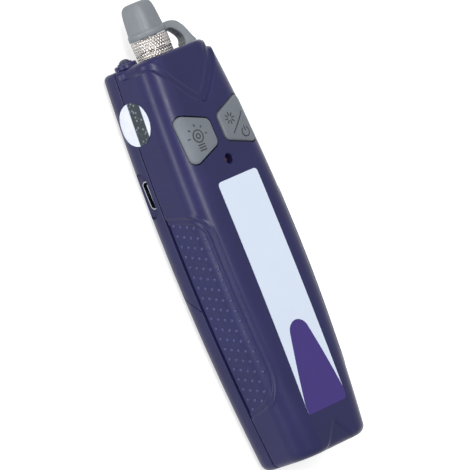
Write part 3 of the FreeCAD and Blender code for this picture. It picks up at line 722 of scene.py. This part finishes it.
def rear_relief(y, q):
    """Rounding along the part line, and the finger ribs on the door's back."""
    depth = seam_round((1 - np.abs(q)) * (back_reach(y) - seam_reach(y)))
    x = np.abs(rear_skin(y, q, 0.0)[:, 0])
    for i in range(RIB_COUNT):
        across = smooth((8.2 - 0.6 * i - x) / 0.6) * (np.abs(q) < 0.9)
        along = smooth(1 - np.abs(y - ARCH_Y + 7 + RIB_PITCH * i) / 0.75)
        depth = depth + RIB_HEIGHT * across * along
    return depth


def rear_ring(y, inset=0.0):
    q = REAR_COLUMNS
    y = np.broadcast_to(np.asarray(y, float), q.shape)
    outside = rear_skin(y, q, -(inset + rear_relief(y, q)))
    inside = rear_skin(inner_station(y), q, -WALL)
    return np.concatenate([outside, inside[::-1]])


def rear_wall(name, edge, end, rounding, spacing, material, body):
    """Wall from the arched edge to one end of the housing, with its end wall."""
    columns = len(REAR_COLUMNS)
    sign = 1 if end > 0 else -1
    start = arch_station(REAR_COLUMNS, edge)
    stop = end - sign * rounding
    count = round(abs(stop - ARCH_Y) / spacing)
    rings = [rear_ring(start + (stop - start) * i / count) for i in range(count + 1)]
    rings += [rear_ring(y, inset) for y, inset in end_rows(end, rounding, sign)]
    rings += end_wall(rings[-1], PART_LINE - SEAM)
    last = 2 * columns - 1
    faces = sweep_faces(len(rings), 2 * columns)
    faces += [(j, j + 1, last - j - 1, last - j) for j in range(columns - 1)]
    return add_mesh(name, np.concatenate(rings), faces, material, body)


def rear_shell():
    shell = rear_wall("rear_moulding", DOOR_GAP / 2, TOP, TOP_ROUND, 0.6, REAR, "housing")
    mouth = SOCKET_LOW[0]
    outside = -HALF_WIDTH - 2
    pocket = oblong(SOCKET_Y, 4.75, 7.25, 2.85)
    slot = oblong(SOCKET_Y, SOCKET_Z, 4.55, 1.7)
    cutters = [
        flank_plug(rounded(pocket, 2.4), outside, mouth - 0.02),
        flank_plug(rounded(slot, 1.45), outside, mouth + 4),
    ]
    for x in (-SCREW_X, SCREW_X):
        cutters.append(bar(4.8, (x, SCREW_Y, -1), (x, SCREW_Y, 3.5)))
    cut(shell, cutters + end_cutters())
    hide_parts("rear_shell")


def screw_wells():
    """Wells round the rear screws, seen down the holes in the back."""
    profile = [(2.4, 2.3), (2.8, 2.3), (2.8, 7.2), (1.25, 7.2), (1.25, 6.05), (2.4, 6.05)]
    for x, name in ((-SCREW_X, "screw_well_left"), (SCREW_X, "screw_well_right")):
        lathe(name, profile, (x, SCREW_Y, 0), REAR, count=48, sharp=40, upright=True)


def battery_door():
    """Sliding door with the two hooked rails that hold it to the tray."""
    door = rear_wall("battery_door_skin", -DOOR_GAP / 2, BOTTOM, BOTTOM_ROUND, 0.4, REAR,
                     "door")
    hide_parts("battery_door")
    hook = [(10.25, 1.6), (11.45, 1.6), (11.45, 7.2), (11.2, 7.4), (9.0, 7.4), (9.0, 6.4),
            (10.05, 6.4), (10.25, 6.2)]
    for side, name in ((-1, "door_rail_left"), (1, "door_rail_right")):
        rings = [[(side * x, y, z) for x, z in hook] for y in (BOTTOM + 12, ARCH_Y - 12)]
        sweep(name, rings, INNER, "door", 30)


# ---- grips' dots
DOT_PITCH = 3.35
DOT_RADIUS = 0.6
DOT_COLUMNS = 5
COLUMN_PITCH = 2.7
DOT_PROFILE = ((1.0, -0.1), (0.95, 0.02), (0.8, 0.14), (0.55, 0.24), (0.25, 0.29))


def dot_places():
    """Middles of one grip's dots as (y, distance above the part line)."""
    for column in range(DOT_COLUMNS):
        above = 1.9 + COLUMN_PITCH * column
        for k in range(-12, 13):
            y = (GRIP_LOW + GRIP_HIGH) / 2 + DOT_PITCH * k - 0.9 * column
            border = outline_distance(np.array([y]), np.array([above]), grip_outline())[0]
            clear = border <= -GRIP_BORDER - 0.4 or above <= 3
            if clear and GRIP_LOW + 2.2 < y < GRIP_HIGH - 2.2:
                yield y, above


def grip_dots():
    """Low domes in staggered columns over both lowered grips."""
    points, faces = [], []
    ring = 12
    dome = closed_sweep(len(DOT_PROFILE), ring)
    for side in (-1, 1):
        for y, above in dot_places():
            faces += [tuple(len(points) + corner for corner in face) for face in dome]
            for share, height in DOT_PROFILE:
                for a in circle(ring):
                    across = DOT_RADIUS * share * math.cos(a)
                    along = DOT_RADIUS * share * math.sin(a)
                    s = side * (seam_reach(y + along) - above - across)
                    points.append(on_skin(y + along, s, height - GRIP_DEPTH).tolist())
    # The dots take the lighter plastic, whose extra brightness is painted highlight.
    add_mesh("grip_dots", points, faces, DOTS_PAINTED_HIGHLIGHT, sharp=60)


# ---- buttons
def skin_height(x, y):
    """Height of the plain front above the back at a place in plan."""
    over = max(0.0, abs(x) - flat_half(y))
    return front_height(y) - FRONT_CORNER + math.sqrt(FRONT_CORNER ** 2 - over ** 2)


def key_top(x, y, centre):
    """Slightly crowned top of a key."""
    far = min(1.0, math.dist((x, y), centre) / 6.5)
    return skin_height(x, y) + KEY_PROUD - 0.12 + KEY_CROWN * (1 - far * far)


def key(side, name, node, body):
    """Rubber key: a post, a flange under the moulding and a soft-edged crowned top.
    Returns its middle in plan."""
    base = button_outline() if side > 0 else mirrored(button_outline())
    centre = tuple(sum(p[i] for p in base) / 4 for i in (0, 1))
    gap, soft, flange, post = 0.35, 0.75, 0.9, 2.0
    foot = DEPTH - 6.5
    turns = [math.atan2(y - centre[1], x - centre[0]) for x, y in rounded(base, KEY_CORNER)]
    rings = []
    for z in (KEY_LOW[2], foot - 1.2):
        rings.append([(centre[0] + post * math.cos(a), centre[1] + post * math.sin(a), z)
                      for a in turns])
    for z in (foot - 1.2, foot):
        rings.append([(x, y, z) for x, y in rounded(grown(base, flange), KEY_CORNER)])
    rings.append([(x, y, foot) for x, y in rounded(grown(base, -gap), 2.1)])
    for c, s in quarter(6):
        inset, drop = soft * (1 - c), soft * (1 - s)
        rim = rounded(grown(base, -gap - inset), 2.1 - inset * 0.6)
        rings.append([(x, y, key_top(x, y, centre) - drop) for x, y in rim])
    for share in (0.9, 0.75, 0.6, 0.45, 0.3, 0.15):
        inner = [[m + (v - m) * share for v, m in zip(point, centre)] for point in rim]
        rings.append([(x, y, key_top(x, y, centre)) for x, y in inner])
    piece = sweep(name, rings, RUBBER, body, 50)
    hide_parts(node)
    return centre


def from_centre(centre, radius, degrees):
    a = math.radians(degrees)
    return centre[0] + radius * math.cos(a), centre[1] + radius * math.sin(a)


def arc(centre, radius, start, end, count=20):
    return [from_centre(centre, radius, start + (end - start) * i / count)
            for i in range(count + 1)]


def icon(name, strokes, centre, width, body):
    """Thin inlaid lines that follow a key's top, each a list of plan points."""
    proud, sunk = 0.05, -0.12
    points, faces = [], []
    for stroke in strokes:
        closed = math.dist(stroke[0], stroke[-1]) < 1e-6
        first, count = len(points), len(stroke)
        for i, (x, y) in enumerate(stroke):
            before = stroke[i - 1] if i else (stroke[-2] if closed else stroke[0])
            after = stroke[i + 1] if i + 1 < count else (stroke[1] if closed else stroke[-1])
            dx, dy = after[0] - before[0], after[1] - before[1]
            size = math.hypot(dx, dy)
            nx, ny = -dy / size * width / 2, dx / size * width / 2
            for sign, lift in ((1, proud), (-1, proud), (-1, sunk), (1, sunk)):
                px, py = x + sign * nx, y + sign * ny
                points.append((px, py, key_top(px, py, centre) + lift))
        make_faces = sweep_faces if closed else closed_sweep
        faces += [tuple(first + corner for corner in face) for face in make_faces(count, 4)]
    add_mesh(name, points, faces, ICON, body, 30)


def line(start, end, step=0.4):
    """Points along a straight stroke, close enough to follow the key's crown."""
    count = max(2, round(math.dist(start, end) / step))
    return [
        (start[0] + (end[0] - start[0]) * i / count, start[1] + (end[1] - start[1]) * i / count)
        for i in range(count + 1)
    ]


def ray(centre, degrees, inner, outer):
    return line(from_centre(centre, inner, degrees), from_centre(centre, outer, degrees))


def lamp_icon(centre):
    """A lamp: ring, lens, rays and the three lines of its foot."""
    x, y = centre[0] - 1.0, centre[1] + 0.2
    strokes = [arc((x, y), 1.9, 0, 360, 40), arc((x, y), 0.75, 0, 360)]
    strokes += [ray((x, y), a, 3.0, 3.8) for a in (0, 45, 90, 135, 180)]
    strokes += [line((x - 1.4, y - d), (x + 1.4, y - d)) for d in (2.75, 3.6, 4.45)]
    icon("lamp_icon", strokes, centre, 0.36, "lamp_key")


def power_icon(centre):
    """A burst, a slash and a power sign."""
    cx, cy = centre
    burst, power = (cx - 2.2, cy + 1.5), (cx + 1.9, cy - 4.0)
    strokes = [ray(burst, 45 * i, 0.7, 1.9) for i in range(8)]
    strokes.append(line((cx - 2.8, cy - 3.2), (cx + 3.6, cy + 2.2)))
    strokes.append(arc(power, 1.5, 125, 415, 28))
    strokes.append(line((power[0], power[1] + 0.3), (power[0], power[1] + 1.9)))
    icon("power_icon", strokes, centre, 0.34, "power_key")


def indicator():
    """Dark lens with a domed top, sunk in the indicator's hole."""
    r, spring = 1.3, DEPTH - 2.4
    profile = [(r, PIPE_LOW[2]), (r, spring)]
    profile += [(r * math.cos(a), spring + 0.6 * math.sin(a)) for a in (0.4, 0.8, 1.2, 1.5)]
    rings = [[(r * math.cos(a), INDICATOR_Y + r * math.sin(a), z) for a in circle(40)]
             for r, z in profile]
    lens = sweep("indicator_lens", rings, PIPE, sharp=50)
    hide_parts("light_pipe")


# ---- label and seal
LABEL_LEAN = 0.4          # the label's foot sits this much to the left


def film(name, rows, low, high, material):
    """Thin film on the front: rows of (y, half width), from low to high over the skin."""
    across = np.linspace(-1, 1, 25)
    rings = []
    for y, half in rows:
        lean = -LABEL_LEAN * (LABEL_HIGH[1] - y) / (LABEL_HIGH[1] - LABEL_LOW[1])
        heights = [(lean + half * share, skin_height(lean + half * share, y))
                   for share in across]
        rings.append([(x, y, z + high) for x, z in heights]
                     + [(x, y, z + low) for x, z in reversed(heights)])
    return sweep(name, rings, material, sharp=30)


def rounded_rows(low, high, half, corner, step):
    """Rows of a rectangle with rounded corners, as (y, half width)."""
    ends = [corner * (1 - c) for c, _ in quarter(8)]
    length = high - low - 2 * corner
    count = round(length / step)
    ys = [low + e for e in ends]
    ys += [low + corner + length * i / count for i in range(1, count)]
    ys += [high - e for e in reversed(ends)]
    rows = []
    for y in ys:
        into = max(0.0, corner - min(y - low, high - y))
        rows.append((y, half - corner + math.sqrt(max(corner ** 2 - into ** 2, 0))))
    return rows


def front_label():
    """Pale film with an arch of ink that fills its foot from side to side."""
    half = LABEL_HIGH[0] - 0.5
    low, high = LABEL_LOW[1], LABEL_HIGH[1]
    outline = rounded_rows(low, high, half, 1.3, 0.7)
    sheet = film("front_label_film", outline, 0.0, 0.15, LABEL)
    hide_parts("front_label")
    crown, r, shoulder = low + 28.1, 4.1, 2.8
    near_crown = [(crown - 0.01 * 3.2 ** i, half) for i in range(5)]
    rows = []
    for y, edge in outline + near_crown:
        down = crown - y
        past = max(0.0, down - shoulder)
        if down > 0:
            wide = math.sqrt(r ** 2 - (r - min(down, shoulder)) ** 2)
            wide += 0.255 * past - 0.0018 * past ** 2
            rows.append((y, min(wide, edge + 0.02)))
    film("label_arch", sorted(rows), 0.08, 0.18, ARCH)


def round_seal():
    """Foil disc over the part line on the left flank."""
    size = (SEAL_HIGH[1] - SEAL_LOW[1]) / 2
    rings = []
    for lift, shares in ((0.0, (0.05, 0.5, 1.0)), (0.12, (1.0, 0.8, 0.6, 0.4, 0.2, 0.05))):
        for share in shares:
            ring = []
            for a in circle(72):
                y = SEAL_Y + size * share * math.sin(a)
                above = SEAL_Z - PART_LINE + size * share * math.cos(a)
                ring.append(on_skin(y, above - seam_reach(y), lift).tolist())
            rings.append(ring)
    seal = sweep("round_seal_foil", rings, foil_material(), sharp=30)
    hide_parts("round_seal")


# ---- port end's metal
PORT = (0.0, TOP, PORT_Z)


def lock_ring():
    high = COLLAR_LOW[1] - TOP - PORT_DROP - 0.12
    ring = knurled("lock_ring_turned", radius_of("lock_ring"), 0.02, high, PORT_BORE)
    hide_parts("lock_ring")


def knurled_collar():
    low, high = COLLAR_LOW[1] - TOP - PORT_DROP, COLLAR_HIGH[1] - TOP - PORT_DROP
    collar = knurled("knurled_collar_turned", radius_of("knurled_collar"), low, high, 2.85)
    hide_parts("knurled_collar")


def knurled(name, outer, low, high, mouth):
    """Turned ring on the port with a diamond knurl cut into its band."""
    band = np.linspace(low + 0.15, high - 0.25, round((high - low - 0.4) / 0.11) + 1)
    foot = [(PORT_BORE, low), (outer - 0.12, low), (outer, low + 0.12)]
    head = [(outer, high - 0.15), (outer - 0.15, high), (mouth, high),
            (mouth, high - 0.65), (PORT_BORE, high - 0.65)]

    def profile(a):
        return foot + [(outer - knurl(a, h, outer, band[0], band[-1]), h) for h in band] + head

    return lathe(name, profile, PORT, KNURL, count=400, sharp=50)


KNURL_COUNT = 38
KNURL_STEEP = 0.55        # turns the grooves towards the port's axis
KNURL_DEPTH = 0.34


def knurl(a, h, outer, low, high):
    """Depth of the diamond knurl: two crossing sets of grooves."""
    around = a / (2 * math.pi) * KNURL_COUNT
    along = h / (2 * math.pi * outer) * KNURL_COUNT * KNURL_STEEP
    depth = 0.0
    for sign, share in ((-1, 1.0), (1, 0.55)):
        place = (around + sign * along) % 1.0
        depth = max(depth, share * (1 - min(place, 1 - place) / 0.3))
    fade = min(1.0, (h - low) / 0.15, (high - h) / 0.15)
    return KNURL_DEPTH * depth * max(0.0, fade)


def dust_cap():
    """Rubber cap: flange, four tapering finger flats and a plain hollow."""
    low = CAP_LOW[1] - TOP - PORT_DROP
    tip = CAP_HIGH[1] - TOP
    flange = [(3.75, low), (5.8, low), (6.0, low + 0.2), (6.0, low + 1.6), (5.9, low + 1.9)]
    body = [
        (5.72, low + 2.15), (5.66, low + 2.5), (5.6, low + 3.2), (5.5, low + 4.2),
        (5.4, low + 5.4), (5.3, low + 6.6), (5.2, low + 7.6), (5.0, tip - 2.2),
        (4.75, tip - 1.4), (4.4, tip - 0.8), (3.9, tip - 0.35), (3.2, tip - 0.08),
        (2.4, tip), (1.2, tip),
    ]
    hollow = [(0.02, tip), (0.02, 12.0), (3.75, 12.0)]

    def profile(a):
        return flange + [(flatted(r, a, h, tip), h) for r, h in body] + hollow

    cap = lathe("dust_cap_rubber", profile, PORT, CAP_RUBBER, "cap", 120, 60)
    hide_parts("dust_cap")


def flatted(r, a, h, tip):
    """Radius of the cap's body, its four flats softly rounded into its corners."""
    flat = 4.85 - (h - 9.2) * 0.07
    total = r ** -26
    for i in range(4):
        c = math.cos(a + math.radians(8 + 90 * i))
        if c > 0.3:
            total += (flat * (r / 5.4 if h > tip - 2.3 else 1.0) / c) ** -26
    return total ** (-1 / 26)


STRAP_TURN = math.radians(18.0)


def round_port(out, across, up):
    """Point on the strap's own axes: outwards, sideways, above the port end."""
    c, s = math.cos(STRAP_TURN), math.sin(STRAP_TURN)
    return (out * c - across * s, TOP + up, PORT_Z + out * s + across * c)


def cap_strap():
    """Rubber strap from the cap's flange over and down to its foot."""
    inner = [(5.5, 6.4), (6.5, 6.4), (7.6, 5.8), (8.7, 4.6), (9.5, 3.4), (9.85, 2.3),
             (9.7, 1.2), (9.3, 0.5)]
    outer = [(5.5, 8.6), (7.2, 8.65), (9.4, 7.9), (10.9, 6.2), (11.8, 4.4), (12.4, 2.9),
             (13.0, 1.4), (13.5, 0.5)]
    halves = [2.4, 2.5, 2.6, 2.7, 2.75, 2.75, 2.85, 3.0]
    rings = []
    for t in np.linspace(0, len(inner) - 1, 5 * (len(inner) - 1) + 1):
        half = np.interp(t, range(len(halves)), halves)
        rings.append(strap_section(spline(inner, t), spline(outer, t), half))
    strap = sweep("cap_strap_rubber", rings, CAP_RUBBER, None, 60)
    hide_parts("cap_strap")
    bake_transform(strap)
    foot = []
    for inset, up in ((0.0, 0.02), (0.0, 0.55), (0.1, 0.78), (0.35, 0.9)):
        outline = rounded(oblong(11.4, 0, 2.2 - inset, 3.0 - inset), 1.1 - inset)
        foot.append([round_port(x, y, up) for x, y in outline])
    sweep("strap_foot", foot, CAP_RUBBER, "housing", 50)


def spline(points, t):
    """Point on a smooth curve through the points, t counting them from 0."""
    i = min(int(t), len(points) - 2)
    t -= i
    p = [points[max(0, min(len(points) - 1, i + k))] for k in (-1, 0, 1, 2)]
    return [0.5 * (2 * b + (c - a) * t + (2 * a - 5 * b + 4 * c - d) * t * t
                   + (3 * b - a - 3 * c + d) * t ** 3) for a, b, c, d in zip(*p)]


def strap_section(ip, op, half):
    """Rounded oblong between an inner and an outer point."""
    dx, dy = op[0] - ip[0], op[1] - ip[1]
    thick = math.hypot(dx, dy)
    corner = min(0.5, thick * 0.3)
    outline = rounded([(0, -half), (thick, -half), (thick, half), (0, half)], corner, 4)
    return [round_port(ip[0] + dx * u / thick, v, ip[1] + dy * u / thick) for u, v in outline]


def torch():
    """Turned boss in the port end and the lamp's dome in it."""
    outer = radius_of("torch_bezel")
    profile = [
        (1.8, -2.0), (2.5, -2.0), (2.5, 0.02), (outer, 0.02), (outer, 0.95),
        (outer - 0.1, 1.2), (outer - 0.35, 1.35), (outer - 0.7, 1.4), (2.35, 1.4),
        (2.3, 1.7), (2.15, 1.85), (1.8, 1.85),
    ]
    centre = (TORCH_X, TOP, TORCH_Z)
    boss = lathe("torch_boss", profile, centre, HOUSING, count=72, sharp=30)
    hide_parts("torch_bezel")
    r, spring, axis = 1.75, 1.7, 0.01
    rise = reach("torch_led")[1][1] - TOP - spring
    dome = [(axis, -6.0), (r, -6.0)]
    dome += [(max(axis, r * c), spring + rise * s) for c, s in quarter(8)]
    lamp = lathe("torch_lamp_dome", dome, centre, LED, count=48, sharp=50)
    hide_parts("torch_led")


# ---- carried-over CAD nodes
def dress_nodes():
    """Better materials for the CAD nodes that stay in view."""
    board = board_material()
    dressed = (
        (INNER, ["battery_tray"]), (cell_material(), ["battery_cell"]),
        (board, ["circuit_board", "torch_board"]),
        (STEEL, ["negative_contact", "positive_contact", "charging_socket"]),
        (CHIP, ["driver_chip", "lamp_switch", "power_switch"]),
        (CERAMIC, ["indicator_chip", "split_sleeve", "focus_lens"]),
        (PLUNGER, ["lamp_plunger", "power_plunger"]), (NICKEL, ["port_body"]),
        (BRASS, ["laser_barrel", "laser_diode"]),
        (SCREW, ["shell_screw_left", "shell_screw_right", "tray_screw_left",
                 "tray_screw_right"]),
    )
    for material, nodes in dressed:
        for node in nodes:
            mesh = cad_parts[node].data
            mesh.materials.clear()
            mesh.materials.append(material)


# ---- floor, light and camera
FLOOR_GLOW = 0.66         # what the camera and reflections see of the floor by itself
SKY_LIGHT = 0.45


def seen(tree):
    """1 for what the camera, reflections and clear parts see, 0 for light."""
    path = tree.nodes.new("ShaderNodeLightPath")
    total = path.outputs["Is Camera Ray"]
    for kind in ("Is Glossy Ray", "Is Transmission Ray"):
        total = add_node(tree, "ShaderNodeMath", {0: total, 1: path.outputs[kind]},
                         operation="MAXIMUM").outputs[0]
    return total


def floor():
    """White floor that keeps the object's shadow."""
    size = 3.0
    mesh = bpy.data.meshes.new("floor")
    corners = [(x, y, 0) for x, y in oblong(0, 0, size, size)]
    mesh.from_pydata(corners, [], [(0, 1, 2, 3)])
    plane = new_object("floor", mesh)
    plane.location.z = -0.0002
    material = bpy.data.materials.new("floor")
    material.use_nodes = True
    tree = material.node_tree
    shader = tree.nodes["Principled BSDF"]
    shader.inputs["Base Color"].default_value = (0.6, 0.6, 0.6, 1)
    shader.inputs["Roughness"].default_value = 0.9
    shader.inputs["Emission Color"].default_value = (1, 1, 1, 1)
    glow = add_node(tree, "ShaderNodeMath", {0: seen(tree), 1: FLOOR_GLOW},
                    operation="MULTIPLY")
    tree.links.new(glow.outputs[0], shader.inputs["Emission Strength"])
    mesh.materials.append(material)


def sky():
    """Even pale surroundings, white where they are seen."""
    world = bpy.data.worlds.new("sky")
    bpy.context.scene.world = world
    world.use_nodes = True
    tree = world.node_tree
    tree.nodes.clear()
    white = (1, 1, 1, 1)
    light, shown = [
        add_node(tree, "ShaderNodeBackground", {"Color": white, "Strength": strength})
        for strength in (SKY_LIGHT, 1.0)
    ]
    mix = add_node(tree, "ShaderNodeMixShader",
                   {0: seen(tree), 1: light.outputs[0], 2: shown.outputs[0]})
    add_node(tree, "ShaderNodeOutputWorld", {"Surface": mix.outputs[0]})


VIEW_TURN = math.radians(42.6)      # camera's turn from the front towards the left
ROLL = math.radians(22.25)
DISTANCE = 1860.0
LENS = 470.1                        # focal length on a sensor 36 mm wide
AIM = Vector((1.18, 5.53, 14.43))
EYE_Y = 65.0


def camera():
    away = Vector((-math.sin(VIEW_TURN), 0, math.cos(VIEW_TURN)))
    right = Vector((math.cos(VIEW_TURN), 0, math.sin(VIEW_TURN)))
    along = Vector((0, 1, 0))
    eye = Vector((0, EYE_Y, PORT_Z)) + away * DISTANCE
    look = (AIM - eye).normalized()
    x_axis = right * math.cos(ROLL) - along * math.sin(ROLL)
    x_axis = (x_axis - look * x_axis.dot(look)).normalized()
    turn = Matrix((x_axis, x_axis.cross(look), -look)).transposed()
    data = bpy.data.cameras.new("camera")
    data.sensor_width = 36.0
    data.lens = LENS
    data.clip_end = 20.0
    shot = new_object("camera", data)
    shot.matrix_world = Matrix.Translation(eye * MM) @ turn.to_4x4()
    bpy.context.scene.camera = shot


def lamp(name, direction, size, power, distance=0.9, rise=0.0):
    """Soft lamp that shines at the object, its long side along Y. Its size, distance
    and rise are in metres, its power in watts."""
    data = bpy.data.lights.new(name, "AREA")
    data.shape = "RECTANGLE"
    data.size, data.size_y = size
    data.energy = power
    out = Vector(direction).normalized()
    side = Vector((0, 1, 0)).cross(out).normalized()
    along = out.cross(side)
    turn = Matrix((side, along, out)).transposed()
    place = Matrix.Translation(out * distance + along * rise)
    new_object(name, data).matrix_world = place @ turn.to_4x4()


def around_port(degrees):
    """Direction across the body, degrees from the camera's own towards the right."""
    a = VIEW_TURN - math.radians(degrees)
    return (-math.sin(a), 0, math.cos(a))


def lights():
    lamp("right_lamp", around_port(12), (0.4, 1.1), 25.0, 2.2, 0.5)
    lamp("left_lamp", around_port(-43), (0.1, 0.6), 2.8, rise=0.15)
    lamp("top_lamp", (0.1, 0.5, 1.0), (0.9, 0.9), 1.5)


# ---- build
front_shell()
rear_shell()
screw_wells()
battery_door()
grip_dots()
left_centre = key(-1, "lamp_key_rubber", "lamp_button", "lamp_key")
right_centre = key(1, "power_key_rubber", "power_button", "power_key")
lamp_icon(left_centre)
power_icon(right_centre)
indicator()
front_label()
round_seal()
lock_ring()
knurled_collar()
dust_cap()
cap_strap()
torch()
dress_nodes()
floor()
sky()
lights()
camera()

scene = bpy.context.scene
scene.view_settings.view_transform = "Standard"
